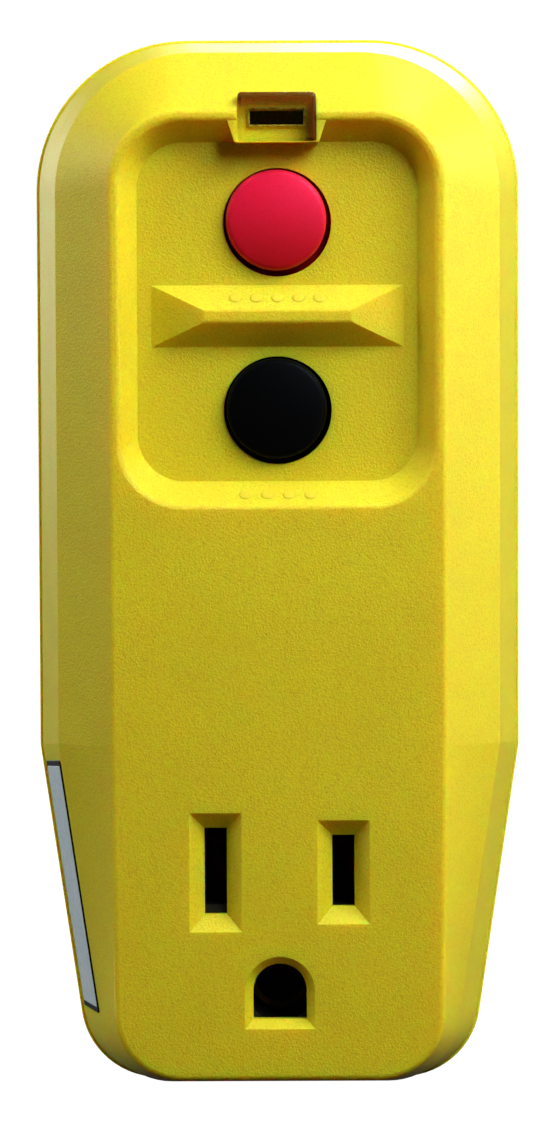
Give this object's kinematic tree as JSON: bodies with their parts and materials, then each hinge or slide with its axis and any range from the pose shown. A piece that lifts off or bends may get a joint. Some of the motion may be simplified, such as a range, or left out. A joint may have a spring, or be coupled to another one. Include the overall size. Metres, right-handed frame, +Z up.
{
  "type": "plug-in GFCI adapter",
  "caption": "Yellow plug-in ground-fault adapter: grounded outlet, reset and test buttons and an indicator window in front, plug blades behind.",
  "frame": {"origin": "on the wall face, midway between the two plug blades", "axes": "+Z up, +Y into the wall along the blades, +X to the right of someone facing the outlet"},
  "size_m": [0.0506, 0.054, 0.1094],
  "materials": {
    "yellow_case": "semi-matt moulded plastic, fine spark-eroded grain",
    "clear_lens": "clear moulded plastic",
    "red_button": "smooth moulded plastic",
    "black_button": "smooth moulded plastic",
    "zinc_screw": "zinc plated",
    "label_paper": "coated paper",
    "blade_brass": "drawn, lightly tarnished",
    "pin_brass": "turned, lightly tarnished",
    "contact_brass": "stamped",
    "black_moulding": "moulded",
    "white_moulding": "moulded",
    "board_laminate": "solder mask",
    "ferrite": "sintered",
    "copper_wire": "enamelled copper wire",
    "plated_steel": "nickel plated",
    "spring_steel": "drawn wire",
    "silver_tip": "silver alloy",
    "black_insulation": "insulation",
    "white_insulation": "insulation",
    "blue_coating": "epoxy coating",
    "black_can": "shrink sleeve",
    "chip_epoxy": "moulded epoxy",
    "resistor_coating": "coating",
    "led_epoxy": "clear epoxy"
  },
  "bodies": {
    "case": {"front_cover": "yellow_case", "rear_cover": "yellow_case", "indicator_lens": "clear_lens", "cover_screws": "zinc_screw", "side_label": "label_paper", "line_blade": "blade_brass", "neutral_blade": "blade_brass", "ground_pin": "pin_brass", "line_outlet_contact": "contact_brass", "neutral_outlet_contact": "contact_brass", "ground_outlet_contact": "contact_brass", "ground_strap": "contact_brass", "contact_holder": "black_moulding", "circuit_board": "board_laminate", "board_screws": "zinc_screw", "core_housing": "black_moulding", "sense_core": "ferrite", "neutral_core": "ferrite", "sense_winding": "copper_wire", "neutral_winding": "copper_wire", "solenoid_bobbin": "white_moulding", "solenoid_coil": "copper_wire", "solenoid_bracket": "plated_steel", "mechanism_frame": "white_moulding", "reset_spring": "spring_steel", "test_spring": "spring_steel", "carrier_spring": "spring_steel", "plunger_spring": "spring_steel", "line_fixed_tip": "silver_tip", "neutral_fixed_tip": "silver_tip", "line_arm_terminal": "contact_brass", "neutral_arm_terminal": "contact_brass", "line_wire": "black_insulation", "neutral_wire": "white_insulation", "test_contact_leaf": "contact_brass", "varistor": "blue_coating", "filter_capacitor": "black_can", "control_chip": "chip_epoxy", "thyristor": "chip_epoxy", "resistors": "resistor_coating", "diodes": "chip_epoxy", "indicator_led": "led_epoxy"},
    "reset_plunger": {"reset_button": "red_button", "latch_pin": "plated_steel"},
    "test_plunger": {"test_button": "black_button"},
    "trip_armature": {"solenoid_plunger": "plated_steel", "latch_plate": "plated_steel"},
    "switch_carrier": {"contact_carrier": "white_moulding"},
    "line_arm": {"line_contact_arm": "contact_brass", "line_moving_tip": "silver_tip"},
    "neutral_arm": {"neutral_contact_arm": "contact_brass", "neutral_moving_tip": "silver_tip"}
  },
  "joints": [
    {"name": "reset_press", "type": "slide", "parent": "case", "child": "reset_plunger", "axis": [0, 1, 0], "range_m": [0, 0.002], "stiffness_N_per_m": 600, "deforming": ["reset_spring"]},
    {"name": "test_press", "type": "slide", "parent": "case", "child": "test_plunger", "axis": [0, 1, 0], "range_m": [0, 0.0015], "stiffness_N_per_m": 600, "deforming": ["test_spring"]},
    {"name": "trip_pull", "type": "slide", "parent": "case", "child": "trip_armature", "axis": [0, 0, -1], "range_m": [0, 0.0015], "stiffness_N_per_m": 120, "deforming": ["plunger_spring"]},
    {"name": "carrier_release", "type": "slide", "parent": "case", "child": "switch_carrier", "axis": [0, 1, 0], "range_m": [0, 0.0012], "stiffness_N_per_m": 200, "deforming": ["carrier_spring"]},
    {"name": "line_arm_swing", "type": "hinge", "parent": "case", "child": "line_arm", "pos_m": [0, -0.0173, 0.074], "axis": [1, 0, 0], "range_deg": [0, 7.1]},
    {"name": "neutral_arm_swing", "type": "hinge", "parent": "case", "child": "neutral_arm", "pos_m": [0, -0.0173, 0.074], "axis": [1, 0, 0], "range_deg": [0, 7.1]}
  ],
  "couplings": [
    {"joint": "line_arm_swing", "follows": "carrier_release", "rad_per_m": 102.4},
    {"joint": "neutral_arm_swing", "follows": "carrier_release", "rad_per_m": 102.4}
  ]
}
